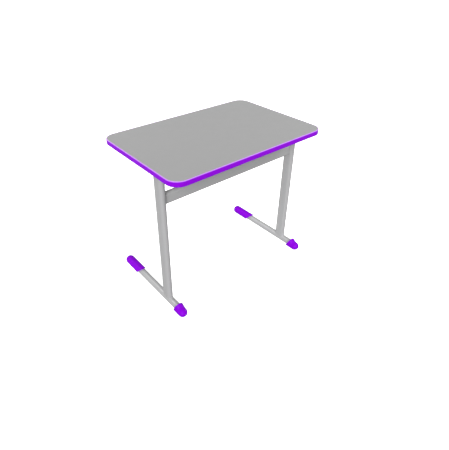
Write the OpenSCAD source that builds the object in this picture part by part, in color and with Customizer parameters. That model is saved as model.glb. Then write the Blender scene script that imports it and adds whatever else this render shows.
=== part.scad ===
// Pupil desk: laminated top with a coloured edge band on a welded T-leg frame.
// X runs along the long edge of the top, -Y is the side of the crossbar, +Z is up.
// The origin lies on the floor under the middle of the top. Sizes are in millimetres.

/* [Tabletop] */
// Width of the top, along X
top_w = 750; // [700:10:800]
// Depth of the top, along Y
top_d = 500; // [490:5:560]
// Height of the working surface above the floor
desk_h = 640; // [530:5:820]
// Thickness of the finished top
top_t = 22; // [20:1:28]
// Radius of the rounded corners of the top
corner_r = 50; // [20:5:80]
// Thickness of each laminate sheet
laminate_t = 0.8; // [0.6:0.1:1.2]
// Thickness of the edge band outside the core
band_t = 3.5; // [3.5:0.5:5]
// Rounding of the two arrises of the edge band
band_round = 3; // [1:0.5:3]

/* [Frame] */
// Distance between the centre lines of the two side frames
frame_gap = 690; // [620:5:700]
// Y position of the uprights
upright_y = -110; // [-125:5:-80]
// Long side of the flat-oval tube
oval_long = 50; // [44:1:54]
// Short side of the flat-oval tube
oval_short = 25; // [20:1:26]
// Wall of the flat-oval and foot tubes
tube_wall = 2; // [1.5:0.5:2.5]
// Distance from the underside of the top to the crossbar
bar_drop = 85; // [60:5:120]
// Outer diameter of the foot tube
foot_dia = 30; // [28:1:32]
// Height of the foot tube's axis above the floor
foot_axis_z = 20; // [20:0.5:20.5]
// Width of the arm under the top
arm_w = 25; // [22:1:30]
// Height of the arm under the top
arm_h = 15; // [14:1:20]
// Y position of the front end of the arm, without its plug
arm_front_y = -190; // [-200:5:-185]
// Y position of the rear end of the arm, without its plug
arm_rear_y = 205; // [205:5:220]

/* [Foot caps] */
// Y position of the tip of the front cap
front_tip_y = -233; // [-240:1:-230]
// Distance from the tip of the front cap to its mouth, along the tube's axis
front_cap_len = 56; // [55:1:60]
// Height of the front cap's collar
collar_h = 48; // [44:1:52]
// Half width of the front cap's collar
collar_r = 21; // [20.5:0.5:22]
// Radius of the front cap's nose
nose_r = 20; // [19:0.5:21]
// Y position of the end of the rear cap
rear_end_y = 230; // [225:1:240]
// Distance from the end of the rear cap to its mouth, along the tube's axis
rear_cap_len = 118; // [105:1:130]
// Outer radius of the rear cap
rear_cap_r = 20.5; // [20.5:0.5:21.5]
// Lean of the rear cap's mouth from upright, in degrees
rear_mouth_lean = 45; // [0:5:45]
// Lean of the front cap's mouth from upright, in degrees
front_mouth_lean = 26; // [0:2:26]

/* [Levelling feet] */
// Distance from the tip of the front cap to the levelling stud
stud_setback = 25; // [24:0.5:25]
// Radius of the levelling pad
pad_r = 9.5; // [8:0.5:10]
// Clearance of the screwed-in pad above the floor
pad_lift = 0.5; // [0.3:0.1:1]

/* [Hidden] */
$fn = 64;
eps = 0.01;
// How far a cut runs past the open face that it starts from
over = 1;

// Heights worked out from the driving sizes
under_z = desk_h - top_t;
arm_z = under_z - arm_h;
frame_x = frame_gap / 2;
bar_z = under_z - bar_drop - oval_long / 2;

// Tongue that holds the band in the core's groove
tongue_t = 2.4;
tongue_depth = 8;
groove_t = 2.6;
groove_depth = 9;
groove_z = desk_h - top_t / 2;
core_run_out = 1;

// Arms, their plugs and the screws into the top
arm_wall = 1.5;
arm_corner_r = 3;
plug_head_t = 4;
plug_shank_len = 14;
plug_play = 0.2;
plug_wall = 2;
plug_shank_corner_r = 1;
screw_y = [-165, -60, 60, 180];
screw_r = 2.1;
screw_clear_r = 2.75;
screw_head_r = 4.75;
screw_head_t = 2.8;
screw_socket_r = 1.9;
screw_socket_depth = 1.6;
screw_bite = 16;
screw_tip_gap = 0.5;

// Foot caps and the rivets that hold them to the foot tubes
front_rim_y = front_tip_y + front_cap_len;
rear_rim_y = rear_end_y - rear_cap_len;
collar_fore = 43;
collar_low_z = 17;
nose_z = 14.5;
nose_y = front_tip_y + nose_r;
foot_y0 = front_tip_y + 37;
foot_y1 = rear_end_y - 11;
rivet_front_y = front_tip_y + 53;
rivet_rear_y = rear_end_y - 70;
rivet_r = 3;
rivet_head_r = 5.5;
rivet_head_t = 1.4;
rivet_head_play = 0.3;
rivet_recess = 1.8;
rivet_top_z = 9;

// Levelling foot: threaded stud, ball joint, pad and insert nut
stud_y = front_tip_y + stud_setback;
stud_r = 3.9;
stud_top_z = 31;
stud_hole_r = 4.5;
stud_hole_top_z = 32.2;
nut_r = 6;
nut_bore_r = 4.1;
nut_z0 = 13;
nut_z1 = 27;
well_r = 7.6;
pad_well_r = pad_r + 0.7;
pad_well_z = 4.6;
pad_t = 2.8;
pad_boss_r = 6;
pad_boss_top_z = 8.4;
ball_r = 3.4;
ball_z = 6.1;
socket_r = 3.8;
socket_mouth_r = 3.2;
neck_r = 2.3;
collar_hex_r = 5.6;
hex_z0 = 9.6;
hex_z1 = 12;

grey_top = [0.66, 0.66, 0.66];
grey_frame = [0.74, 0.74, 0.75];
purple = [0.55, 0.05, 0.86];
chipboard = [0.78, 0.66, 0.48];
backing = [0.80, 0.79, 0.77];
black = [0.12, 0.12, 0.13];
zinc = [0.75, 0.76, 0.78];
brass = [0.80, 0.66, 0.30];

// ---- shared outlines -------------------------------------------------------

// Rectangle with round corners, centred on the origin
module rounded_rect(w, d, r) {
    square([w - 2 * r, d], center = true);
    square([w, d - 2 * r], center = true);
    for (sx = [-1, 1], sy = [-1, 1])
        translate([sx * (w / 2 - r), sy * (d / 2 - r)]) circle(r);
}

// Flat-oval outline: its long side lies along Y
module flat_oval(long, short) {
    square([short, long - short], center = true);
    for (s = [-1, 1])
        translate([0, s * (long - short) / 2]) circle(short / 2);
}

module flat_oval_tube(len) {
    linear_extrude(len) difference() {
        flat_oval(oval_long, oval_short);
        flat_oval(oval_long - 2 * tube_wall, oval_short - 2 * tube_wall);
    }
}

// Puts a left-hand piece on the left (-1) or mirrors it to the right (1)
module on_side(side) {
    if (side < 0) translate([-frame_x, 0, 0]) children();
    else mirror([1, 0, 0]) translate([-frame_x, 0, 0]) children();
}

// Turns an upward extrusion so that it runs along +Y
module along_y() {
    rotate([-90, 0, 0]) children();
}

// ---- tabletop --------------------------------------------------------------

module panel(z, t, inset) {
    translate([0, 0, z]) linear_extrude(t)
        rounded_rect(top_w - 2 * inset, top_d - 2 * inset, corner_r - inset);
}

module screw_holes(z, len) {
    for (sx = [-1, 1], y = screw_y)
        translate([sx * frame_x, y, z]) cylinder(h = len, r = screw_r);
}

module tabletop_core() {
    color(chipboard) difference() {
        panel(under_z + laminate_t, top_t - 2 * laminate_t, band_t);
        difference() {
            panel(groove_z - groove_t / 2, groove_t, band_t - core_run_out);
            panel(groove_z - groove_t / 2 - over, groove_t + 2 * over, band_t + groove_depth);
        }
        screw_holes(under_z - over, screw_bite + over + screw_tip_gap);
    }
}

module top_laminate() {
    color(grey_top) panel(desk_h - laminate_t, laminate_t, band_t);
}

module underside_laminate() {
    color(backing) difference() {
        panel(under_z, laminate_t, band_t);
        screw_holes(under_z - over, laminate_t + 2 * over);
    }
}

// Section of the band: outward is +X, the middle of its height is at 0
module band_section() {
    flat = band_t - band_round;
    translate([-band_t, -top_t / 2]) square([flat, top_t]);
    translate([-band_t, -top_t / 2 + band_round]) square([band_t, top_t - 2 * band_round]);
    for (s = [-1, 1]) intersection() {
        translate([-band_round, s * (top_t / 2 - band_round)]) circle(band_round);
        translate([-band_t, -top_t / 2]) square([band_t, top_t]);
    }
    translate([-band_t - tongue_depth, -tongue_t / 2]) square([tongue_depth + over, tongue_t]);
}

// One straight run, its outer face on the line x = reach
module band_run(reach, len) {
    translate([reach, len / 2, 0]) rotate([90, 0, 0]) linear_extrude(len) band_section();
}

module band_corner() {
    rotate_extrude(angle = 90) translate([corner_r, 0]) band_section();
}

module edge_band() {
    cx = top_w / 2 - corner_r;
    cy = top_d / 2 - corner_r;
    color(purple) translate([0, 0, groove_z]) {
        for (turn = [0, 180]) rotate([0, 0, turn]) {
            band_run(top_w / 2, 2 * cy);
            rotate([0, 0, 90]) band_run(top_d / 2, 2 * cx);
            translate([cx, cy, 0]) band_corner();
            translate([-cx, cy, 0]) rotate([0, 0, 90]) band_corner();
        }
    }
}

// ---- frame -----------------------------------------------------------------

// Flat-oval tube, its foot coped to sit on the foot tube
module upright(side) {
    color(grey_frame) on_side(side) difference() {
        translate([0, upright_y, foot_axis_z]) flat_oval_tube(arm_z - foot_axis_z);
        translate([0, upright_y - oval_long, foot_axis_z])
            along_y() cylinder(h = 2 * oval_long, r = foot_dia / 2);
    }
}

module arm_outline(inset) {
    rounded_rect(arm_w - 2 * inset, arm_h - 2 * inset, arm_corner_r - inset);
}

// Rectangular tube under the top, drilled for the four screws
module top_arm(side) {
    color(grey_frame) on_side(side) difference() {
        translate([0, arm_front_y, arm_z + arm_h / 2]) along_y()
            linear_extrude(arm_rear_y - arm_front_y) difference() {
                arm_outline(0);
                arm_outline(arm_wall);
            }
        for (y = screw_y)
            translate([0, y, arm_z - over]) cylinder(h = arm_h + 2 * over, r = screw_clear_r);
    }
}

module foot_tube(side) {
    color(grey_frame) on_side(side) difference() {
        translate([0, foot_y0, foot_axis_z]) along_y() difference() {
            cylinder(h = foot_y1 - foot_y0, r = foot_dia / 2);
            translate([0, 0, -over])
                cylinder(h = foot_y1 - foot_y0 + 2 * over, r = foot_dia / 2 - tube_wall);
        }
        for (y = [rivet_front_y, rivet_rear_y])
            translate([0, y, 0]) cylinder(h = foot_axis_z, r = rivet_r);
    }
}

module crossbar() {
    len = frame_gap - oval_short;
    color(grey_frame) translate([-len / 2, upright_y, bar_z])
        rotate([90, 0, 90]) flat_oval_tube(len);
}

// ---- foot caps -------------------------------------------------------------

// Hole for a rivet and the recess for its head
module rivet_hole(y) {
    translate([0, y, -over]) cylinder(h = foot_axis_z, r = rivet_r);
    translate([0, y, -over]) cylinder(h = rivet_recess + over, r = rivet_head_r + rivet_head_play);
}

module below_floor() {
    translate([-top_w / 4, -top_d, -top_d]) cube([top_w / 2, 2 * top_d, top_d]);
}

// Everything behind (1) or in front of (-1) a mouth that leans forward at its top
module past_mouth(y, lean, way) {
    size = 4 * foot_dia;
    translate([0, y, foot_axis_z]) rotate([lean, 0, 0])
        translate([-size / 2, way < 0 ? -size : 0, -size / 2]) cube(size);
}

// Toe cap with a raised collar: slips over the short end of the foot tube and houses the levelling foot
module front_cap(side) {
    collar_y = front_tip_y + collar_fore;
    color(purple) on_side(side) difference() {
        hull() {
            for (z = [collar_low_z, collar_h - collar_r])
                translate([0, collar_y, z]) along_y()
                    cylinder(h = foot_dia, r = collar_r, $fn = 48);
            translate([0, nose_y, nose_z]) sphere(nose_r, $fn = 48);
        }
        below_floor();
        past_mouth(front_rim_y, front_mouth_lean, 1);
        translate([0, foot_y0, foot_axis_z]) along_y()
            cylinder(h = 2 * front_cap_len, r = foot_dia / 2);
        rivet_hole(rivet_front_y);
        translate([0, stud_y, -over]) cylinder(h = pad_well_z + over, r = pad_well_r);
        translate([0, stud_y, 0]) cylinder(h = nut_z0, r = well_r);
        translate([0, stud_y, nut_z0 - eps]) cylinder(h = nut_z1 - nut_z0 + eps, r = nut_r);
        translate([0, stud_y, 0]) cylinder(h = stud_hole_top_z, r = stud_hole_r);
    }
}

// Long sleeve over the other end of the foot tube, with a domed end and a leaning mouth
module rear_cap(side) {
    dome_y = rear_end_y - rear_cap_r;
    start_y = rear_rim_y - foot_dia;
    color(purple) on_side(side) difference() {
        union() {
            translate([0, start_y, foot_axis_z]) along_y()
                cylinder(h = dome_y - start_y, r = rear_cap_r);
            translate([0, dome_y, foot_axis_z]) sphere(rear_cap_r);
        }
        below_floor();
        past_mouth(rear_rim_y, rear_mouth_lean, -1);
        translate([0, start_y - over, foot_axis_z]) along_y()
            cylinder(h = foot_y1 - start_y + over, r = foot_dia / 2);
        rivet_hole(rivet_rear_y);
    }
}

// ---- plugs and fasteners ---------------------------------------------------

// end is -1 for the front end of the arm and 1 for the rear end
module arm_plug(side, end) {
    play = arm_wall + plug_play;
    reach = end < 0 ? -arm_front_y : arm_rear_y;
    color(black) on_side(side) translate([0, 0, arm_z + arm_h / 2])
        mirror([0, end < 0 ? 1 : 0, 0]) translate([0, reach, 0]) along_y() {
            linear_extrude(plug_head_t) arm_outline(0);
            translate([0, 0, -plug_shank_len]) linear_extrude(plug_shank_len + eps)
                difference() {
                    rounded_rect(arm_w - 2 * play, arm_h - 2 * play, plug_shank_corner_r);
                    square([arm_w - 2 * play - 2 * plug_wall, arm_h - 2 * play - 2 * plug_wall],
                           center = true);
                }
        }
}

module top_screws() {
    color(zinc) for (sx = [-1, 1], y = screw_y) translate([sx * frame_x, y, arm_z]) {
        difference() {
            translate([0, 0, -screw_head_t]) cylinder(h = screw_head_t, r = screw_head_r);
            translate([0, 0, -screw_head_t - over])
                cylinder(h = screw_socket_depth + over, r = screw_socket_r, $fn = 6);
        }
        cylinder(h = arm_h + screw_bite, r = screw_r);
    }
}

module cap_rivets() {
    color(zinc) for (sx = [-1, 1], y = [rivet_front_y, rivet_rear_y])
        translate([sx * frame_x, y, 0]) {
            translate([0, 0, rivet_recess - rivet_head_t])
                cylinder(h = rivet_head_t, r = rivet_head_r);
            translate([0, 0, rivet_recess])
                cylinder(h = rivet_top_z - rivet_recess, r = rivet_r);
        }
}

// ---- levelling feet --------------------------------------------------------

module leveller_nut(side) {
    color(brass) on_side(side) translate([0, stud_y, nut_z0]) difference() {
        cylinder(h = nut_z1 - nut_z0, r = nut_r);
        translate([0, 0, -over]) cylinder(h = nut_z1 - nut_z0 + 2 * over, r = nut_bore_r);
    }
}

module leveller_stud(side) {
    color(zinc) on_side(side) translate([0, stud_y, 0]) {
        translate([0, 0, ball_z]) sphere(ball_r);
        translate([0, 0, ball_z]) cylinder(h = hex_z0 - ball_z + eps, r = neck_r);
        translate([0, 0, hex_z0]) cylinder(h = hex_z1 - hex_z0, r = collar_hex_r, $fn = 6);
        translate([0, 0, hex_z1 - eps]) cylinder(h = stud_top_z - hex_z1, r = stud_r);
    }
}

module leveller_pad(side) {
    color(black) on_side(side) translate([0, stud_y, 0]) difference() {
        union() {
            translate([0, 0, pad_lift]) cylinder(h = pad_t, r = pad_r);
            translate([0, 0, pad_lift]) cylinder(h = pad_boss_top_z - pad_lift, r = pad_boss_r);
        }
        translate([0, 0, ball_z]) sphere(socket_r);
        translate([0, 0, ball_z]) cylinder(h = pad_boss_top_z, r = socket_mouth_r);
    }
}

// ---- assembly --------------------------------------------------------------

tabletop_core();
top_laminate();
underside_laminate();
edge_band();
upright(-1);  // left_upright
upright(1);  // right_upright
top_arm(-1);  // left_top_arm
top_arm(1);  // right_top_arm
foot_tube(-1);  // left_foot_tube
foot_tube(1);  // right_foot_tube
crossbar();
front_cap(-1);  // left_front_cap
front_cap(1);  // right_front_cap
rear_cap(-1);  // left_rear_cap
rear_cap(1);  // right_rear_cap
arm_plug(-1, -1);  // left_arm_front_plug
arm_plug(-1, 1);  // left_arm_rear_plug
arm_plug(1, -1);  // right_arm_front_plug
arm_plug(1, 1);  // right_arm_rear_plug
top_screws();
cap_rivets();
leveller_nut(-1);  // left_leveller_nut
leveller_nut(1);  // right_leveller_nut
leveller_stud(-1);  // left_leveller_stud
leveller_stud(1);  // right_leveller_stud
leveller_pad(-1);  // left_leveller_pad
leveller_pad(1);  // right_leveller_pad
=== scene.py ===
"""Looks of the pupil's desk: laminated top, purple edge band and foot caps, painted T-leg frame.

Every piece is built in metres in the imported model's frame, and its place comes from the model's nodes.
"""

import math

import bmesh
import bpy
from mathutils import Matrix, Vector


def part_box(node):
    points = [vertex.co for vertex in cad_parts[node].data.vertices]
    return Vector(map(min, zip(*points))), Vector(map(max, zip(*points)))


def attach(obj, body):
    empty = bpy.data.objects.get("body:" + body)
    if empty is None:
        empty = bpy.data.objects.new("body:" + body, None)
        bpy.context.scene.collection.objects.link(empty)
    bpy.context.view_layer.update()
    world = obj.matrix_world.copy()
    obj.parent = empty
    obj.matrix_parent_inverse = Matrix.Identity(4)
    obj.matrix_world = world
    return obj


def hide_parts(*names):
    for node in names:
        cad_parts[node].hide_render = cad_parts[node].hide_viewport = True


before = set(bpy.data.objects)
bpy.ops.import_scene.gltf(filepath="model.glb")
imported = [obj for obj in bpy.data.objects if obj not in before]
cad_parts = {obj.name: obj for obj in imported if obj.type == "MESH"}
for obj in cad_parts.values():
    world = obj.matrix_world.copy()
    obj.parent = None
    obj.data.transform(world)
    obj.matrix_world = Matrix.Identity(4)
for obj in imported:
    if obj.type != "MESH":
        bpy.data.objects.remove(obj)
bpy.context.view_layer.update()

MM = 0.001
SIDES = (("left", -1), ("right", 1))
BODY = "desk"

# ---------------------------------------------------------------- places read from the model

top_low, top_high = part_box("edge_band")
sheet_low, sheet_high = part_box("top_laminate")
backing_low, backing_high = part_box("underside_laminate")
upright_low, upright_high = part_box("right_upright")
arm_low, arm_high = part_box("right_top_arm")
foot_low, foot_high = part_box("right_foot_tube")
bar_low, bar_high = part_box("crossbar")
front_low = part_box("right_front_cap")[0]
rear_low, rear_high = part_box("right_rear_cap")
stud_low, stud_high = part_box("right_leveller_stud")
pad_low, pad_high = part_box("right_leveller_pad")
nut_low, nut_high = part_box("right_leveller_nut")
rivets_low, rivets_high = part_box("cap_rivets")
screws_low, screws_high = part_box("top_screws")
plug_low, plug_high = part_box("right_arm_rear_plug")

frame_x = (foot_low.x + foot_high.x) / 2
foot_z = (foot_low.z + foot_high.z) / 2
foot_r = (foot_high.z - foot_low.z) / 2
upright_y = (upright_low.y + upright_high.y) / 2
bar_z = (bar_low.z + bar_high.z) / 2
oval_short = upright_high.x - upright_low.x
oval_long = upright_high.y - upright_low.y
stud_y = (stud_low.y + stud_high.y) / 2
corner_r = 50 * MM
# The mouths of the caps lean, so these lengths are taken on the foot tube's axis
FRONT_CAP_LEN = 56 * MM
REAR_CAP_LEN = 118 * MM
front_rim_y = front_low.y + FRONT_CAP_LEN
rear_rim_y = rear_high.y - REAR_CAP_LEN

# ---------------------------------------------------------------- outlines


def arc(cx, cy, radius, start, end, steps):
    """Points on an arc, angles in degrees, both ends included."""
    points = []
    for i in range(steps + 1):
        a = math.radians(start + (end - start) * i / steps)
        points.append((cx + radius * math.cos(a), cy + radius * math.sin(a)))
    return points


def circle(radius, steps=64):
    return arc(0, 0, radius, 0, 360, steps)[:-1]


def flat_oval(along, across, steps=24):
    """Outline with two straight sides along the second axis, centred on the origin."""
    r = across / 2
    reach = along / 2 - r
    return arc(0, reach, r, 0, 180, steps) + arc(0, -reach, r, 180, 360, steps)


def rounded_rect(width, depth, radius, steps=24):
    x, y = width / 2 - radius, depth / 2 - radius
    corners = ((x, y, 0), (-x, y, 90), (-x, -y, 180), (x, -y, 270))
    return [p for cx, cy, a in corners for p in arc(cx, cy, radius, a, a + 90, steps)]


def smooth_curve(keys, s):
    """Value at s of a smooth curve through the (s, value) keys."""
    if s <= keys[0][0]:
        return keys[0][1]
    for i in range(len(keys) - 1):
        (s0, v0), (s1, v1) = keys[i], keys[i + 1]
        if s <= s1:
            before = keys[i - 1] if i else keys[i]
            after = keys[min(i + 2, len(keys) - 1)]
            step = s1 - s0
            m0 = (v1 - before[1]) / max(s1 - before[0], 1e-9) * step
            m1 = (after[1] - v0) / max(after[0] - s0, 1e-9) * step
            t = (s - s0) / step
            return ((2 * t**3 - 3 * t**2 + 1) * v0 + (t**3 - 2 * t**2 + t) * m0
                    + (3 * t**2 - 2 * t**3) * v1 + (t**3 - t**2) * m1)
    return keys[-1][1]


# ---------------------------------------------------------------- mesh builders

TINY = 1e-6
MERGE_DIST = 2e-6
MERGE_AFTER_CUT = 5e-6


def loft(rings, loop=False, caps=True):
    """Vertices and faces of a skin through rings of equal length; loop joins the last to the first."""
    count = len(rings[0])
    verts = [Vector(p) for ring in rings for p in ring]
    faces = []
    spans = len(rings) if loop else len(rings) - 1
    for i in range(spans):
        a, b = i * count, (i + 1) % len(rings) * count
        for k in range(count):
            n = (k + 1) % count
            faces.append((a + k, a + n, b + n, b + k))
    if caps and not loop:
        for start in (0, (len(rings) - 1) * count):
            centre = sum((verts[start + k] for k in range(count)), Vector()) / count
            verts.append(centre)
            hub = len(verts) - 1
            faces += [(start + k, start + (k + 1) % count, hub) for k in range(count)]
    return verts, faces


def join(*parts):
    """Several (vertices, faces) pairs as one."""
    verts, faces = [], []
    for part_verts, part_faces in parts:
        base = len(verts)
        verts += part_verts
        faces += [tuple(base + i for i in face) for face in part_faces]
    return verts, faces


def lathe(profile, steps=48, centre=(0, 0)):
    """Solid turned about a vertical line, from (radius, height) points that start and end near it."""
    rings = []
    for radius, height in profile:
        outline = circle(max(radius, TINY), steps)
        rings.append([(centre[0] + x, centre[1] + y, height) for x, y in outline])
    return loft(rings)


def along_y(outline, y, cx=0.0, cz=0.0):
    return [(cx + u, y, cz + v) for u, v in outline]


def build(name, shape, material, body=BODY, stands_for=(), sharp=40):
    """Makes the piece: a clean closed mesh, smooth but for its sharp edges, on its body."""
    mesh = bpy.data.meshes.new(name)
    mesh.from_pydata([tuple(v) for v in shape[0]], [], shape[1])
    bm = bmesh.new()
    bm.from_mesh(mesh)
    bmesh.ops.remove_doubles(bm, verts=bm.verts, dist=MERGE_DIST)
    bmesh.ops.dissolve_degenerate(bm, edges=bm.edges, dist=TINY)
    bmesh.ops.recalc_face_normals(bm, faces=bm.faces)
    bm.to_mesh(mesh)
    bm.free()
    piece = bpy.data.objects.new(name, mesh)
    bpy.context.scene.collection.objects.link(piece)
    dress(piece, material, sharp)
    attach(piece, body)
    if stands_for:
        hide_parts(*stands_for)
    return piece


def dress(piece, material, sharp=40):
    piece.data.materials.clear()
    piece.data.materials.append(material)
    piece.data.shade_smooth()
    piece.data.set_sharp_from_angle(angle=math.radians(sharp))


def cut(piece, shape):
    """Takes a closed shape out of a piece for good."""
    mesh = bpy.data.meshes.new("cutter")
    mesh.from_pydata([tuple(v) for v in shape[0]], [], shape[1])
    bm = bmesh.new()
    bm.from_mesh(mesh)
    bmesh.ops.remove_doubles(bm, verts=bm.verts, dist=MERGE_DIST)
    bmesh.ops.recalc_face_normals(bm, faces=bm.faces)
    bm.to_mesh(mesh)
    bm.free()
    cutter = bpy.data.objects.new("cutter", mesh)
    bpy.context.scene.collection.objects.link(cutter)
    modifier = piece.modifiers.new("cut", "BOOLEAN")
    modifier.object = cutter
    modifier.operation = "DIFFERENCE"
    modifier.solver = "EXACT"
    bpy.context.view_layer.update()
    graph = bpy.context.evaluated_depsgraph_get()
    result = bpy.data.meshes.new_from_object(piece.evaluated_get(graph))
    piece.modifiers.clear()
    old = piece.data
    piece.data = result
    result.name = piece.name
    bpy.data.meshes.remove(old)
    bpy.data.objects.remove(cutter)
    bpy.data.meshes.remove(mesh)


def tidy(piece, sharp=40):
    """Splits the many-sided faces that a cut leaves, and shades the piece again."""
    bm = bmesh.new()
    bm.from_mesh(piece.data)
    bmesh.ops.remove_doubles(bm, verts=bm.verts, dist=MERGE_AFTER_CUT)
    bmesh.ops.dissolve_degenerate(bm, edges=bm.edges, dist=MERGE_AFTER_CUT)
    bmesh.ops.triangulate(bm, faces=[f for f in bm.faces if len(f.verts) > 4])
    bm.to_mesh(piece.data)
    bm.free()
    dress(piece, piece.data.materials[0], sharp)


# ---------------------------------------------------------------- materials


class Finish:
    """A node material: one shader with colour, roughness and bump worked out from object coordinates."""

    def __init__(self, name, **constants):
        self.material = bpy.data.materials.new(name)
        self.material.use_nodes = True
        self.nodes = self.material.node_tree.nodes
        self.links = self.material.node_tree.links
        self.shader = self.nodes["Principled BSDF"]
        self.place = self.nodes.new("ShaderNodeTexCoord").outputs["Object"]
        self.last_normal = None
        for socket, value in constants.items():
            self.shader.inputs[socket.replace("_", " ")].default_value = value

    def add(self, kind, inputs=(), **settings):
        node = self.nodes.new(kind)
        for key, value in settings.items():
            setattr(node, key, value)
        for key, value in dict(inputs).items():
            if isinstance(value, bpy.types.NodeSocket):
                self.links.new(value, node.inputs[key])
            else:
                node.inputs[key].default_value = value
        return node

    def stretch(self, scale):
        return self.add("ShaderNodeMapping", {"Vector": self.place, "Scale": scale}).outputs["Vector"]

    def noise(self, scale, detail=2.0, rough=0.5, place=None):
        where = place or self.place
        inputs = {"Vector": where, "Scale": scale, "Detail": detail, "Roughness": rough}
        return self.add("ShaderNodeTexNoise", inputs).outputs["Fac"]

    def cells(self, scale, feature="F1", output="Distance", place=None):
        inputs = {"Vector": place or self.place, "Scale": scale}
        node = self.add("ShaderNodeTexVoronoi", inputs, feature=feature)
        return node.outputs[output]

    def spread(self, value, low, high, new_low, new_high):
        inputs = {0: value, 1: low, 2: high, 3: new_low, 4: new_high}
        return self.add("ShaderNodeMapRange", inputs).outputs[0]

    def maths(self, operation, a, b):
        return self.add("ShaderNodeMath", {0: a, 1: b}, operation=operation).outputs[0]

    def height_above_floor(self):
        return self.add("ShaderNodeSeparateXYZ", {0: self.place}).outputs["Z"]

    def blend(self, factor, first, second):
        node = self.add("ShaderNodeMix", {"Factor": factor, 6: first, 7: second}, data_type="RGBA")
        return node.outputs[2]

    def colour(self, socket):
        self.links.new(socket, self.shader.inputs["Base Color"])

    def roughness(self, socket):
        self.links.new(socket, self.shader.inputs["Roughness"])

    def bump(self, height, depth, strength=1.0):
        """Adds relief of that depth in metres on top of the relief that is there."""
        inputs = {"Height": height, "Distance": depth, "Strength": strength}
        if self.last_normal:
            inputs["Normal"] = self.last_normal
        self.last_normal = self.add("ShaderNodeBump", inputs).outputs["Normal"]
        self.links.new(self.last_normal, self.shader.inputs["Normal"])


def shade(colour, factor):
    return tuple(min(1.0, c * factor) for c in colour) + (1.0,)


LAMINATE = (0.352, 0.352, 0.352)
PAINT = (0.380, 0.380, 0.385)
PURPLE_BAND = (0.245, 0.001, 0.630)
PURPLE_CAP = (0.225, 0.001, 0.600)
# Pale lilac painted along the band's upper arris as a highlight; the plastic itself is not this colour
# there
ARRIS_HIGHLIGHT_PURPLE = (0.62, 0.30, 0.86, 1.0)
ARRIS_TALL = 3.0 * MM
ARRIS_RAGGED = 0.15 * MM


def laminate_finish():
    """Grey decorative laminate with a fine pearl grain and faint hand marks."""
    f = Finish("grey_laminate", Specular_IOR_Level=0.35)
    speckle = f.noise(2600, 2.0, 0.6)
    cloud = f.noise(5.0, 3.0, 0.55)
    grain = f.spread(speckle, 0.35, 0.65, 0.0, 1.0)
    tint = f.blend(grain, shade(LAMINATE, 0.975), shade(LAMINATE, 1.025))
    f.colour(f.blend(f.spread(cloud, 0.3, 0.7, 0.0, 0.35), tint, shade(LAMINATE, 0.985)))
    f.roughness(f.spread(f.noise(22, 4.0, 0.6), 0.3, 0.7, 0.44, 0.54))
    f.bump(f.noise(1500, 3.0, 0.6), 0.00006, 0.55)
    return f.material


def band_finish():
    """Extruded purple plastic: fine lines along its length, with a painted highlight of pale lilac along
    its upper arris.
    """
    f = Finish("purple_band", Specular_IOR_Level=0.1)
    cloud = f.spread(f.noise(60, 3.0, 0.5), 0.3, 0.7, 0.0, 1.0)
    plain = f.blend(cloud, shade(PURPLE_BAND, 0.96), shade(PURPLE_BAND, 1.04))
    wander = f.spread(f.noise(240, 2.0, 0.5), 0.3, 0.7, -ARRIS_RAGGED, ARRIS_RAGGED)
    ragged = f.maths("ADD", f.height_above_floor(), wander)
    # Painted highlight: the band turns pale lilac over its top ARRIS_TALL, and the lower edge of that
    # strip wavers a little
    painted_highlight_mask = f.spread(ragged, top_high.z - ARRIS_TALL, top_high.z, 0.0, 1.0)
    f.colour(f.blend(painted_highlight_mask, plain, ARRIS_HIGHLIGHT_PURPLE))
    f.roughness(f.spread(f.noise(300, 3.0, 0.6), 0.3, 0.7, 0.28, 0.38))
    lines = f.noise(1.0, 3.0, 0.6, f.stretch((6, 6, 2200)))
    f.bump(lines, 0.00002, 0.4)
    return f.material


def cap_finish():
    """Moulded purple plastic: spark-eroded grain, scuffed pale close to the floor."""
    f = Finish("purple_caps", Specular_IOR_Level=0.05)
    cloud = f.noise(90, 3.0, 0.5)
    base = f.blend(f.spread(cloud, 0.3, 0.7, 0.0, 1.0), shade(PURPLE_CAP, 0.95), shade(PURPLE_CAP, 1.05))
    scratch = f.noise(1.0, 4.0, 0.75, f.stretch((900, 120, 1500)))
    low = f.spread(f.height_above_floor(), 0.0, 0.012, 1.0, 0.0)
    scuff = f.maths("MULTIPLY", f.spread(scratch, 0.56, 0.70, 0.0, 0.5), low)
    f.colour(f.blend(scuff, base, (0.42, 0.12, 0.80, 1.0)))
    f.roughness(f.spread(f.noise(500, 3.0, 0.6), 0.3, 0.7, 0.34, 0.46))
    f.bump(f.noise(2400, 2.0, 0.6), 0.00004, 0.5)
    return f.material


def paint_finish():
    """Light grey powder coat: satin with orange peel."""
    f = Finish("grey_powder_coat", Specular_IOR_Level=0.5, Coat_Weight=0.2, Coat_Roughness=0.25)
    speckle = f.noise(1800, 2.0, 0.6)
    f.colour(f.blend(f.spread(speckle, 0.3, 0.7, 0.0, 1.0), shade(PAINT, 0.975), shade(PAINT, 1.02)))
    f.roughness(f.spread(f.noise(140, 3.0, 0.6), 0.3, 0.7, 0.27, 0.35))
    f.bump(f.noise(420, 2.0, 0.45), 0.00012, 0.45)
    f.bump(f.noise(2600, 1.0, 0.5), 0.00003, 0.3)
    return f.material


def chipboard_finish():
    """Raw chipboard: pressed flakes of several browns."""
    f = Finish("raw_chipboard", Specular_IOR_Level=0.2, Roughness=0.85)
    flat = f.stretch((1.0, 1.0, 4.0))
    flake = f.cells(260, output="Color", place=flat)
    pick = f.add("ShaderNodeSeparateColor", {0: flake}).outputs[0]
    dark, pale = (0.42, 0.27, 0.13, 1.0), (0.78, 0.62, 0.40, 1.0)
    f.colour(f.blend(f.maths("MULTIPLY", pick, f.noise(900, 3.0, 0.6)), dark, pale))
    f.bump(f.cells(260, place=flat), 0.0003, 0.5)
    return f.material


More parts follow.
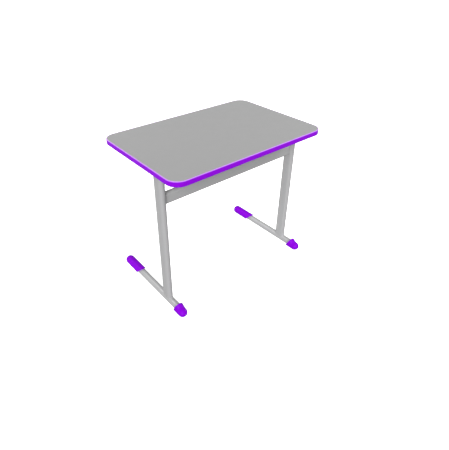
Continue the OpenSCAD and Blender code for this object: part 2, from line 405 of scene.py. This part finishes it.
def backing_finish():
    """Pale balancing sheet: phenolic paper with faint fibres."""
    f = Finish("balancing_sheet", Specular_IOR_Level=0.3)
    fibre = f.noise(1.0, 4.0, 0.65, f.stretch((60, 900, 60)))
    strands = f.spread(fibre, 0.35, 0.65, 0.0, 1.0)
    f.colour(f.blend(strands, (0.50, 0.49, 0.47, 1), (0.58, 0.57, 0.55, 1)))
    f.roughness(f.spread(f.noise(80, 3.0, 0.6), 0.3, 0.7, 0.55, 0.68))
    f.bump(fibre, 0.00004, 0.5)
    return f.material


def zinc_finish():
    """Bright zinc plating with the faint colours of its passivation."""
    f = Finish("zinc_plate", Metallic=1.0)
    cloud = f.noise(320, 3.0, 0.6)
    f.colour(f.blend(f.spread(cloud, 0.3, 0.7, 0.0, 1.0), (0.56, 0.58, 0.62, 1), (0.68, 0.66, 0.60, 1)))
    f.roughness(f.spread(f.noise(900, 3.0, 0.6), 0.3, 0.7, 0.24, 0.40))
    f.bump(f.noise(3000, 2.0, 0.5), 0.00002, 0.4)
    return f.material


def brass_finish():
    f = Finish("turned_brass", Metallic=1.0)
    rings = f.noise(1.0, 2.0, 0.5, f.stretch((8, 8, 3000)))
    f.colour(f.blend(f.spread(rings, 0.3, 0.7, 0.0, 1.0), (0.62, 0.43, 0.15, 1), (0.74, 0.55, 0.24, 1)))
    f.roughness(f.spread(rings, 0.3, 0.7, 0.22, 0.36))
    f.bump(rings, 0.00003, 0.5)
    return f.material


def black_finish(name, rough):
    """Black moulded plastic with a fine grain."""
    f = Finish(name, Specular_IOR_Level=0.45)
    cloud = f.spread(f.noise(200, 3.0, 0.6), 0.3, 0.7, 0.0, 1.0)
    f.colour(f.blend(cloud, (0.016, 0.016, 0.018, 1), (0.028, 0.028, 0.030, 1)))
    f.roughness(f.spread(f.noise(700, 3.0, 0.6), 0.3, 0.7, rough - 0.06, rough + 0.06))
    f.bump(f.noise(2200, 2.0, 0.6), 0.00005, 0.5)
    return f.material


LAMINATE_MAT = laminate_finish()
BAND_MAT = band_finish()
CAP_MAT = cap_finish()
PAINT_MAT = paint_finish()
CHIPBOARD_MAT = chipboard_finish()
BACKING_MAT = backing_finish()
ZINC_MAT = zinc_finish()
BRASS_MAT = brass_finish()
PLUG_MAT = black_finish("black_plugs", 0.45)
PAD_MAT = black_finish("black_pads", 0.55)

# ---------------------------------------------------------------- tabletop

CORNER_STEPS = 32
BAND_ROUND = 3 * MM
SHEET_EASED = 0.12 * MM


def sheet(name, low, high, eased, material):
    """A thin laminate sheet whose outer edges are eased by a fraction of a millimetre."""
    width, depth = high.x - low.x, high.y - low.y
    radius = corner_r - (top_high.x - high.x)
    rings = []
    for inset, z in ((eased, low.z), (0, low.z + eased), (0, high.z - eased), (eased, high.z)):
        outline = rounded_rect(width - 2 * inset, depth - 2 * inset, radius - inset, CORNER_STEPS)
        rings.append([(x, y, z) for x, y in outline])
    return build(name, loft(rings), material, stands_for=[name])


def band_section(band, half, round_r):
    """Section of the edge band as (outward, up) points: rounded face, tongue with two barbs behind."""
    eased = 0.25 * MM
    tongue, tip, barb = 1.2 * MM, 7.6 * MM, 1.28 * MM
    face = arc(-round_r, -half + round_r, round_r, -90, 0, 10)
    face += arc(-round_r, half - round_r, round_r, 0, 90, 10)
    back = [(-band + eased, half), (-band, half - eased), (-band, tongue)]
    for reach in (2.2 * MM, 4.6 * MM):
        back += [(-band - reach, barb), (-band - reach - 0.4 * MM, tongue)]
    back += [(-band - tip, 0.7 * MM)]
    lower = [(u, -v) for u, v in reversed(back)]
    return face + back + lower


def edge_band():
    """The band swept round the top, with its butt joint in the middle of the rear edge."""
    half = (top_high.z - top_low.z) / 2
    middle = (top_high.z + top_low.z) / 2
    band = top_high.x - sheet_high.x
    section = band_section(band, half, BAND_ROUND)
    x, y = top_high.x - corner_r, top_high.y - corner_r
    route = []
    for cx, cy, start in ((x, y, 0), (-x, y, 90), (-x, -y, 180), (x, -y, 270)):
        for i in range(CORNER_STEPS + 1):
            a = math.radians(start + 90 * i / CORNER_STEPS)
            route.append((cx, cy, corner_r, a, 0.0))
    groove = ((0.6 * MM, 0), (0.15 * MM, 0), (0, 0.35 * MM), (-0.15 * MM, 0), (-0.6 * MM, 0))
    joint = [(seam_x, y, corner_r, math.pi / 2, dip) for seam_x, dip in groove]
    route[CORNER_STEPS + 1:CORNER_STEPS + 1] = joint
    rings = []
    for cx, cy, reach, a, dip in route:
        ring = []
        for u, v in section:
            out = reach + u
            if u > -band / 2:
                out -= dip
            ring.append((cx + out * math.cos(a), cy + out * math.sin(a), middle + v))
        rings.append(ring)
    return build("edge_band", loft(rings, loop=True), BAND_MAT, stands_for=["edge_band"])


sheet("top_laminate", sheet_low, sheet_high, SHEET_EASED, LAMINATE_MAT)
sheet("underside_laminate", backing_low, backing_high, SHEET_EASED, BACKING_MAT)
edge_band()

# ---------------------------------------------------------------- frame

OVAL_STEPS = 28
ARM_CORNER = 3 * MM
WELD_SPACING = 0.7 * MM
WELD_RIPPLE = 2.6 * MM
FOOT_WELD = 2.4 * MM
ARM_WELD = 1.9 * MM
BAR_WELD = 2.1 * MM
WELD_SLOPE = 0.9


def coped_height(x):
    """Height at which a vertical line, x away from the foot tube's axis, meets the tube."""
    return foot_z + math.sqrt(max(foot_r * foot_r - x * x, 0))


def upright(name, side):
    cx = side * frame_x
    outline = flat_oval(oval_long, oval_short, OVAL_STEPS)
    rings = [[(cx + u, upright_y + v, coped_height(u)) for u, v in outline]]
    above_foot = foot_z + foot_r
    for z in (above_foot + 4 * MM, above_foot + 12 * MM, upright_high.z - 10 * MM, upright_high.z):
        rings.append([(cx + u, upright_y + v, z) for u, v in outline])
    build(f"{name}_upright", loft(rings), PAINT_MAT, stands_for=[f"{name}_upright"])


def straight_tube(name, outline_at, ends, place):
    """A tube with eased ends; outline_at(inset) is its outline, and place(ring, at) sets it in space."""
    eased = 0.4 * MM
    start, end = ends
    rings = []
    for at, inset in ((start, eased), (start + eased, 0), (end - eased, 0), (end, eased)):
        rings.append(place(outline_at(inset), at))
    build(name, loft(rings), PAINT_MAT, stands_for=[name])


def weld(name, route, normals, size):
    """A rippled fillet weld along a closed route; its normals lean out of the corner."""
    count = len(route)
    lengths = [0.0]
    for i in range(count):
        lengths.append(lengths[-1] + (Vector(route[(i + 1) % count]) - Vector(route[i])).length)
    beads = max(6, round(lengths[-1] / WELD_RIPPLE))
    rings = []
    for i in range(count):
        here = Vector(route[i])
        tangent = (Vector(route[(i + 1) % count]) - Vector(route[i - 1])).normalized()
        out = (Vector(normals[i]) - tangent * tangent.dot(Vector(normals[i]))).normalized()
        across = tangent.cross(out)
        phase = 2 * math.pi * beads * lengths[i] / lengths[-1]
        r = size * (1 + 0.07 * math.cos(phase) + 0.05 * math.sin(phase * 0.37 + 1.1))
        ring = []
        for k in range(10):
            a = 2 * math.pi * k / 10
            ring.append(here + out * (r * 0.72 * math.cos(a)) + across * (r * 1.15 * math.sin(a)))
        rings.append(ring)
    build(name, loft(rings, loop=True), PAINT_MAT, sharp=75)


def resample(points, spacing):
    """A closed route through the points with even steps."""
    total = 0.0
    for i in range(len(points)):
        total += (Vector(points[(i + 1) % len(points)]) - Vector(points[i])).length
    count = max(24, round(total / spacing))
    step, out, walked, target = total / count, [], 0.0, 0.0
    for i in range(len(points)):
        a, b = Vector(points[i]), Vector(points[(i + 1) % len(points)])
        span = (b - a).length
        while target < walked + span - 1e-9 and len(out) < count:
            out.append(a.lerp(b, (target - walked) / span))
            target += step
        walked += span
    return out


def upright_welds(name, side):
    cx = side * frame_x
    outline = flat_oval(oval_long, oval_short, OVAL_STEPS)
    flat = resample([(u, v, 0) for u, v in outline], WELD_SPACING)
    foot_route = [(cx + p.x, upright_y + p.y, coped_height(p.x)) for p in flat]
    arm_route = [(cx + p.x, upright_y + p.y, upright_high.z) for p in flat]
    reach = oval_long / 2 - oval_short / 2
    leans_up, leans_down = [], []
    for p in flat:
        out = Vector((p.x, p.y - max(-reach, min(reach, p.y)), 0)).normalized()
        leans_up.append(out + Vector((0, 0, WELD_SLOPE)))
        leans_down.append(out + Vector((0, 0, -WELD_SLOPE)))
    weld(f"{name}_foot_weld", foot_route, leans_up, FOOT_WELD)
    weld(f"{name}_arm_weld", arm_route, leans_down, ARM_WELD)


def bar_welds(name, side):
    x = side * bar_high.x
    outline = flat_oval(oval_long, oval_short, OVAL_STEPS)
    flat = resample([(0, u, v) for u, v in outline], WELD_SPACING)
    route = [(x, upright_y + p.y, bar_z + p.z) for p in flat]
    reach = oval_long / 2 - oval_short / 2
    leans = []
    for p in flat:
        out = Vector((0, p.y, p.z - max(-reach, min(reach, p.z)))).normalized()
        leans.append(out + Vector((-side * WELD_SLOPE, 0, 0)))
    weld(f"{name}_bar_weld", route, leans, BAR_WELD)


def foot_tube(name, side):
    cx = side * frame_x

    def outline(inset):
        return circle(foot_r - inset, 72)

    def place(ring, y):
        return along_y(ring, y, cx, foot_z)

    straight_tube(f"{name}_foot_tube", outline, (foot_low.y, foot_high.y), place)


def top_arm(name, side):
    cx, cz = side * frame_x, (arm_low.z + arm_high.z) / 2
    width, height = arm_high.x - arm_low.x, arm_high.z - arm_low.z

    def outline(inset):
        return rounded_rect(width - 2 * inset, height - 2 * inset, ARM_CORNER - inset, 8)

    def place(ring, y):
        return along_y(ring, y, cx, cz)

    straight_tube(f"{name}_top_arm", outline, (arm_low.y, arm_high.y), place)


def crossbar():
    def outline(inset):
        return flat_oval(oval_long - 2 * inset, oval_short - 2 * inset, OVAL_STEPS)

    def place(ring, x):
        return [(x, u + upright_y, v + bar_z) for u, v in ring]

    straight_tube("crossbar", outline, (bar_low.x, bar_high.x), place)


for name, side in SIDES:
    upright(name, side)
    foot_tube(name, side)
    top_arm(name, side)
    upright_welds(name, side)
    bar_welds(name, side)
crossbar()

# ---------------------------------------------------------------- foot caps

NOSE_LEN = 21 * MM
NOSE_MID = 13 * MM
# Toe cap: height of its top and its half width, at fractions of the way from the nose to the mouth
TOP_LINE = [(0.0, 34.5 * MM), (0.25, 36.6 * MM), (0.5, 41.2 * MM), (0.8, 46.6 * MM), (1.0, 48.0 * MM)]
HALF_WIDTH = [(0.0, 19.3 * MM), (0.5, 19.9 * MM), (1.0, 20.4 * MM)]
FRONT_LEAN = math.tan(math.radians(26))
REAR_LEAN = math.tan(math.radians(45))
SOLE_DROP = 1.6 * MM
RIM_ROUND = 1.6 * MM
RIVET_R = 5.5 * MM
BELLY = 2.8
CAP_STEPS = 96
RIVET_RECESS = 1.8 * MM


def cap_ring(cx, y, top, bottom, half, lean=0.0, belly=2.0):
    """Oval ring with a fuller lower half, flat on the floor; lean pushes its top forward, to -Y."""
    mid, rise = (top + bottom) / 2, (top - bottom) / 2
    ring = []
    for k in range(CAP_STEPS):
        a = 2 * math.pi * k / CAP_STEPS
        u, v = math.cos(a), math.sin(a)
        if v < 0:
            u = math.copysign(abs(u) ** (2 / belly), u)
            v = -abs(v) ** (2 / belly)
        z = max(mid + rise * v, 0.0)
        ring.append((cx + half * u, y - lean * (z - foot_z), z))
    return ring


def mouth_rings(cx, rim_y, bottom_y, lean, way):
    """Rings of the bore that takes the foot tube, from its eased mouth to its square bottom."""
    r, ease = foot_r + 0.05 * MM, 0.6 * MM
    rings = []
    for y, radius, tilt in ((rim_y, r + ease, lean), (rim_y + way * ease, r, lean), (bottom_y, r, 0.0)):
        rings.append(cap_ring(cx, y, foot_z + radius, foot_z - radius, radius, tilt))
    return rings


def rounded_rim(cx, rim_y, way, top, bottom, half, lean, belly):
    """Rings round the outer edge of a mouth; way is 1 where the mouth faces +Y."""
    rings = []
    for i in range(7):
        a = math.pi / 2 * i / 6
        inset = RIM_ROUND * (1 - math.cos(a))
        y = rim_y - way * RIM_ROUND * (1 - math.sin(a))
        rings.append(cap_ring(cx, y, top - inset, bottom + inset, half - inset, lean, belly))
    return rings


def front_cap(name, side):
    """Toe cap: round nose, raised collar and leaning mouth, with wells for the foot and the rivet."""
    cx = side * frame_x
    tip, rim = front_low.y, front_rim_y
    nose_top, nose_half = TOP_LINE[0][1], HALF_WIDTH[0][1]
    rings = []
    for i in range(1, 15):
        a = math.pi / 2 * i / 14
        k = math.sin(a)
        y = tip + NOSE_LEN * (1 - math.cos(a))
        top, bottom = NOSE_MID + (nose_top - NOSE_MID) * k, NOSE_MID - (NOSE_MID + SOLE_DROP) * k
        rings.append(cap_ring(cx, y, top, bottom, nose_half * k, 0.0, 2 + (BELLY - 2) * k))
    start, stop, steps = tip + NOSE_LEN, rim - RIM_ROUND, 26
    for i in range(1, steps):
        t = i / steps
        top, half = smooth_curve(TOP_LINE, t), smooth_curve(HALF_WIDTH, t)
        y = start + (stop - start) * t
        rings.append(cap_ring(cx, y, top, -SOLE_DROP, half, FRONT_LEAN * t, BELLY))
    rings += rounded_rim(cx, rim, 1, TOP_LINE[-1][1], -SOLE_DROP, HALF_WIDTH[-1][1], FRONT_LEAN, BELLY)
    rings += mouth_rings(cx, rim, foot_low.y, FRONT_LEAN, -1)
    node = f"{name}_front_cap"
    cap = build(node, loft(rings), CAP_MAT, stands_for=[node])
    cut(cap, levelling_well(cx))
    cut(cap, rivet_recess(cx, rivets_low.y + RIVET_R))
    tidy(cap)


def levelling_well(cx):
    """Wells under the toe cap for the pad, the stud's collar, the insert nut and the stud."""
    pad_r, nut_r = (pad_high.x - pad_low.x) / 2, (nut_high.x - nut_low.x) / 2
    mouth, pad_well, well, stud_hole = pad_r + 1.1 * MM, pad_r + 0.7 * MM, 7.6 * MM, 4.5 * MM
    pad_roof, stud_roof = 4.6 * MM, 32.2 * MM
    return lathe([(0, -MM), (mouth, -MM), (mouth, 0.2 * MM), (pad_well, 0.8 * MM), (pad_well, pad_roof),
                  (well, pad_roof), (well, nut_low.z), (nut_r, nut_low.z), (nut_r, nut_high.z),
                  (stud_hole, nut_high.z), (stud_hole, stud_roof), (0, stud_roof)], 64, (cx, stud_y))


def rivet_recess(cx, y):
    depth, r = RIVET_RECESS, RIVET_R + 0.3 * MM
    profile = [(0, -MM), (r + 0.3 * MM, -MM), (r + 0.3 * MM, 0.0), (r, 0.3 * MM), (r, depth), (0, depth)]
    return lathe(profile, 48, (cx, y))


def rear_cap(name, side):
    """Sleeve with a domed end and a leaning mouth."""
    cx = side * frame_x
    end, rim = rear_high.y, rear_rim_y
    r = (rear_high.x - rear_low.x) / 2
    top, bottom = foot_z + r, foot_z - r
    rings = mouth_rings(cx, rim, foot_high.y, REAR_LEAN, 1)[::-1]
    rings += rounded_rim(cx, rim, -1, top, bottom, r, REAR_LEAN, 2.0)[::-1]
    start, stop, steps = rim + RIM_ROUND, end - r, 16
    for i in range(1, steps + 1):
        t = i / steps
        rings.append(cap_ring(cx, start + (stop - start) * t, top, bottom, r, REAR_LEAN * (1 - t)))
    for i in range(1, 24):
        a = math.pi / 2 * i / 24
        k = r * math.cos(a)
        rings.append(cap_ring(cx, end - r * (1 - math.sin(a)), foot_z + k, foot_z - k, k))
    node = f"{name}_rear_cap"
    cap = build(node, loft(rings), CAP_MAT, stands_for=[node])
    cut(cap, rivet_recess(cx, rivets_high.y - RIVET_R))
    tidy(cap)


for name, side in SIDES:
    front_cap(name, side)
    rear_cap(name, side)

# ---------------------------------------------------------------- plugs and fasteners

SCREW_HEAD_R = 4.75 * MM
INNER_SCREW_Y = 60 * MM


def arm_plug(name, side, end):
    """Tube plug with a softly rounded head; end is -1 at the front of the arm and 1 at the rear."""
    cx, cz = side * frame_x, (arm_low.z + arm_high.z) / 2
    width, height = arm_high.x - arm_low.x, arm_high.z - arm_low.z
    back = arm_high.y if end > 0 else -arm_low.y
    face, tail = back + (plug_high.y - arm_high.y), back - (arm_high.y - plug_low.y)
    soft = 1.4 * MM
    spots = [(tail, 3.4 * MM), (tail + 2 * MM, 1.75 * MM), (back, 1.75 * MM), (back, 0.3 * MM),
             (back + 0.3 * MM, 0)]
    spots += [(face - soft + soft * math.sin(a), soft * (1 - math.cos(a)))
              for a in (math.radians(15 * i) for i in range(7))]
    spots += [(face, 3.2 * MM), (face - 0.35 * MM, 3.9 * MM)]
    rings = []
    for y, inset in spots:
        outline = rounded_rect(width - 2 * inset, height - 2 * inset, max(3 * MM - inset, 0.9 * MM), 8)
        rings.append(along_y(outline, end * y, cx, cz))
    place = "front" if end < 0 else "rear"
    node = f"{name}_arm_{place}_plug"
    build(node, loft(rings), PLUG_MAT, stands_for=[node])


def hex_ring(flat, steps):
    """Hexagon with that distance across its flats, as steps points."""
    points = []
    for k in range(steps):
        a = 2 * math.pi * k / steps
        off = (a + math.pi / 6) % (math.pi / 3) - math.pi / 6
        r = flat / 2 / math.cos(off)
        points.append((r * math.cos(a), r * math.sin(a)))
    return points


def pan_head_screw(x, y, z, tip_z):
    """Pan head below z with a hexagon socket, shank up to tip_z."""
    steps = 48
    head_t, shank_r = 2.8 * MM, 2.1 * MM
    rings = []
    for radius, height in ((0.4 * MM, tip_z), (shank_r, tip_z - 4 * MM), (shank_r, z),
                           (SCREW_HEAD_R - 0.2 * MM, z), (SCREW_HEAD_R, z - 0.2 * MM),
                           (SCREW_HEAD_R, z - 1.0 * MM)):
        rings.append([(x + u, y + v, height) for u, v in circle(radius, steps)])
    for i in range(1, 7):
        a = math.radians(15 * i)
        radius = SCREW_HEAD_R - 1.7 * MM * (1 - math.cos(a))
        height = z - MM - (head_t - MM) * math.sin(a)
        rings.append([(x + u, y + v, height) for u, v in circle(radius, steps)])
    for flat, height in ((3.9 * MM, z - head_t), (3.6 * MM, z - head_t + 0.2 * MM),
                         (3.6 * MM, z - head_t + 1.6 * MM)):
        rings.append([(x + u, y + v, height) for u, v in hex_ring(flat, steps)])
    return loft(rings)


def top_screws():
    """Two rows of screws, each with two near its ends and two near its middle."""
    first, last = screws_low.y + SCREW_HEAD_R, screws_high.y - SCREW_HEAD_R
    shapes = [pan_head_screw(side * frame_x, y, arm_low.z, screws_high.z)
              for _, side in SIDES for y in (first, -INNER_SCREW_Y, INNER_SCREW_Y, last)]
    build("top_screws", join(*shapes), ZINC_MAT, stands_for=["top_screws"], sharp=35)


def cap_rivets():
    shapes = []
    recess, top = RIVET_RECESS, rivets_high.z
    for _, side in SIDES:
        for y in (rivets_low.y + RIVET_R, rivets_high.y - RIVET_R):
            dome = [(RIVET_R * math.sin(a), recess - 1.4 * MM * math.cos(a) ** 0.7)
                    for a in (math.radians(9 * i) for i in range(10))]
            shank = [(3 * MM, recess), (3 * MM, top - 0.5 * MM), (2.5 * MM, top), (0, top)]
            shapes.append(lathe(dome + shank, 40, (side * frame_x, y)))
    build("cap_rivets", join(*shapes), ZINC_MAT, stands_for=["cap_rivets"])


for name, side in SIDES:
    for end in (-1, 1):
        arm_plug(name, side, end)
top_screws()
cap_rivets()

# ---------------------------------------------------------------- levelling feet

THREAD_PITCH = 1.25 * MM
THREAD_DEPTH = 0.62 * MM
BALL_R = 3.4 * MM


def leveller_stud(name, side):
    """Ball, neck, hexagon collar and a real helical thread, from the ball up."""
    cx, steps = side * frame_x, 48
    neck_r, shank_r = 2.3 * MM, 3.9 * MM
    ball_z = stud_low.z + BALL_R
    hex_low, hex_high = ball_z + 3.5 * MM, ball_z + 5.9 * MM

    def ring(outline, z):
        return [(cx + u, stud_y + v, z) for u, v in outline]

    rings = []
    for i in range(1, 13):
        a = math.radians(-90 + 11.5 * i)
        rings.append(ring(circle(BALL_R * math.cos(a), steps), ball_z + BALL_R * math.sin(a)))
    rings.append(ring(circle(neck_r, steps), hex_low - 0.3 * MM))
    rings.append(ring(hex_ring(8.9 * MM, steps), hex_low))
    rings.append(ring(hex_ring(9.6 * MM, steps), hex_low + 0.35 * MM))
    rings.append(ring(hex_ring(9.6 * MM, steps), hex_high - 0.35 * MM))
    rings.append(ring(hex_ring(8.9 * MM, steps), hex_high))
    rings.append(ring(circle(shank_r - THREAD_DEPTH, steps), hex_high))
    top = stud_high.z
    turns = (top - hex_high - 1.2 * MM) / THREAD_PITCH
    rows = int(turns * 10)
    for j in range(rows + 1):
        z = hex_high + 0.4 * MM + (top - hex_high - 1.2 * MM) * j / rows
        fade = min(1.0, (z - hex_high - 0.4 * MM) / MM, (top - 0.8 * MM - z) / MM)
        outline = []
        for k in range(steps):
            a = 2 * math.pi * k / steps
            along = (z / THREAD_PITCH - k / steps) % 1.0
            crest = min(1.0, max(0.0, 1.35 - 2.7 * abs(along - 0.5)))
            r = shank_r - THREAD_DEPTH * (1 - crest * max(fade, 0.0))
            outline.append((r * math.cos(a), r * math.sin(a)))
        rings.append(ring(outline, z))
    rings.append(ring(circle(shank_r - THREAD_DEPTH - 0.4 * MM, steps), top))
    node = f"{name}_leveller_stud"
    build(node, loft(rings), ZINC_MAT, f"{name}_stud", [node], 32)


def leveller_pad(name, side):
    """Pad with a fluted rim and the socket that snaps onto the stud's ball."""
    cx, steps, flutes = side * frame_x, 96, 16
    pad_r = (pad_high.x - pad_low.x) / 2
    low, high = pad_low.z, pad_high.z
    thick, boss_r = 2.8 * MM, 6 * MM
    ball_z, socket_r, mouth_r = stud_low.z + BALL_R, 3.8 * MM, 3.2 * MM

    def ring(radius, z, fluted):
        points = []
        for k in range(steps):
            a = 2 * math.pi * k / steps
            r = radius - fluted * (0.5 - 0.5 * math.cos(flutes * a)) ** 2
            points.append((cx + r * math.cos(a), stud_y + r * math.sin(a), z))
        return points

    depth = 0.7 * MM
    rings = [ring(1 * MM, low + 0.25 * MM, 0), ring(pad_r - 2.4 * MM, low + 0.2 * MM, 0),
             ring(pad_r - 1.8 * MM, low, 0), ring(pad_r - 0.6 * MM, low, depth * 0.6),
             ring(pad_r, low + 0.6 * MM, depth), ring(pad_r, low + thick - 0.6 * MM, depth),
             ring(pad_r - 0.6 * MM, low + thick, depth * 0.6), ring(boss_r + 0.6 * MM, low + thick, 0),
             ring(boss_r, low + thick + 0.5 * MM, 0), ring(boss_r, high - 0.4 * MM, 0),
             ring(boss_r - 0.4 * MM, high, 0), ring(mouth_r + 0.4 * MM, high, 0)]
    start = math.asin(min(1.0, (high - 0.5 * MM - ball_z) / socket_r))
    rings.append(ring(mouth_r, high - 0.4 * MM, 0))
    for i in range(11):
        a = start - (start + math.pi / 2) * i / 10
        rings.append(ring(max(socket_r * math.cos(a), 0.02 * MM), ball_z + socket_r * math.sin(a), 0))
    node = f"{name}_leveller_pad"
    build(node, loft(rings), PAD_MAT, f"{name}_pad", [node], 35)


for name, side in SIDES:
    leveller_stud(name, side)
    leveller_pad(name, side)
    dress(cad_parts[f"{name}_leveller_nut"], BRASS_MAT)

dress(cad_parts["tabletop_core"], CHIPBOARD_MAT)

# ---------------------------------------------------------------- floor, light and camera

STUDIO_R = 25.0
ROOM_LOW = 0.35
ROOM_HIGH = 0.38
SUN_WIDTH = 40
# Each sun is the direction that it shines from and its strength
FRONT_SUN = ((-0.70, -0.63, 0.38), 3.2)
RIGHT_SUN = ((0.97, 0.05, 0.15), 0.7)
BACK_SUN = ((-0.20, 0.97, 0.05), 0.7)
RIGHT_BOX = (2.0, -1.3, 2.3)
LEFT_BOX = (-1.3, 1.9, 2.6)
BOX_SIDE = 0.6
BOX_POWER = 25
BOX_AIM = (0, 0, 0.6)


def studio_shell():
    """A pale floor with a pale dome over it, not attached to the desk. They only fill the view."""
    turns, rows = 64, 16
    rings = []
    for i in range(1, rows + 1):
        rings.append([(x, y, 0.0) for x, y in circle(STUDIO_R * i / rows, turns)])
    for i in range(1, rows + 1):
        up = math.radians(89.0 * i / rows)
        rings.append([(x, y, STUDIO_R * math.sin(up)) for x, y in circle(STUDIO_R * math.cos(up), turns)])
    verts, faces = loft(rings)
    mesh = bpy.data.meshes.new("studio_shell")
    mesh.from_pydata([tuple(v) for v in verts], [], faces)
    shell = bpy.data.objects.new("studio_shell", mesh)
    bpy.context.scene.collection.objects.link(shell)
    f = Finish("pale_studio", Specular_IOR_Level=0.0, Roughness=1.0, Emission_Strength=0.9)
    f.shader.inputs["Emission Color"].default_value = (1, 1, 1, 1)
    f.colour(f.blend(f.noise(3.0, 2.0, 0.5), (0.92, 0.92, 0.92, 1), (0.94, 0.94, 0.94, 1)))
    mesh.materials.append(f.material)
    shell.visible_diffuse = False
    shell.visible_glossy = False
    shell.visible_shadow = False


def softbox(name, place):
    """A square softbox that looks at the middle of the desk's top."""
    lamp = bpy.data.lights.new(name, "AREA")
    lamp.shape = "RECTANGLE"
    lamp.size, lamp.size_y = BOX_SIDE, BOX_SIDE
    lamp.energy = BOX_POWER
    box = bpy.data.objects.new(name, lamp)
    box.location = place
    box.rotation_euler = (Vector(BOX_AIM) - Vector(place)).to_track_quat("-Z", "Y").to_euler()
    bpy.context.scene.collection.objects.link(box)


def soft_sun(name, source, power):
    """Even light from one side of the studio, as soft as light from a large window."""
    lamp = bpy.data.lights.new(name, "SUN")
    lamp.energy = power
    lamp.angle = math.radians(SUN_WIDTH)
    sun = bpy.data.objects.new(name, lamp)
    sun.rotation_euler = Vector(source).to_track_quat("Z", "Y").to_euler()
    bpy.context.scene.collection.objects.link(sun)


def studio_light():
    """A dim even room, a strong light from the front left, two weak fills and two softboxes."""
    world = bpy.data.worlds.new("pale_room")
    world.use_nodes = True
    nodes, links = world.node_tree.nodes, world.node_tree.links
    place = nodes.new("ShaderNodeTexCoord").outputs["Generated"]
    height = nodes.new("ShaderNodeSeparateXYZ")
    links.new(place, height.inputs[0])
    level = nodes.new("ShaderNodeMapRange")
    links.new(height.outputs["Z"], level.inputs[0])
    for socket, value in ((1, -0.35), (2, 0.35), (3, ROOM_LOW), (4, ROOM_HIGH)):
        level.inputs[socket].default_value = value
    links.new(level.outputs[0], nodes["Background"].inputs["Strength"])
    nodes["Background"].inputs["Color"].default_value = (1, 1, 1, 1)
    bpy.context.scene.world = world
    soft_sun("window_front", *FRONT_SUN)
    soft_sun("fill_right", *RIGHT_SUN)
    soft_sun("fill_behind", *BACK_SUN)
    softbox("edge_light_right", RIGHT_BOX)
    softbox("edge_light_left", LEFT_BOX)


def photo_camera():
    """The photograph's viewpoint: seen from the front left, a little over a metre up."""
    heading, down = math.radians(39.24), math.radians(33.42)
    focal_px, long_side_px, sensor = 399.0, 450, 36.0
    data = bpy.data.cameras.new("photo_camera")
    data.sensor_width = sensor
    data.lens = focal_px / long_side_px * sensor
    data.shift_x, data.shift_y = 0.0301, -0.0304
    data.clip_end = 60
    camera = bpy.data.objects.new("photo_camera", data)
    camera.location = (-0.974, -1.166, 1.260)
    camera.rotation_euler = (math.pi / 2 - down, 0, -heading)
    bpy.context.scene.collection.objects.link(camera)
    bpy.context.scene.camera = camera


studio_shell()
studio_light()
photo_camera()
bpy.context.scene.view_settings.view_transform = "Standard"
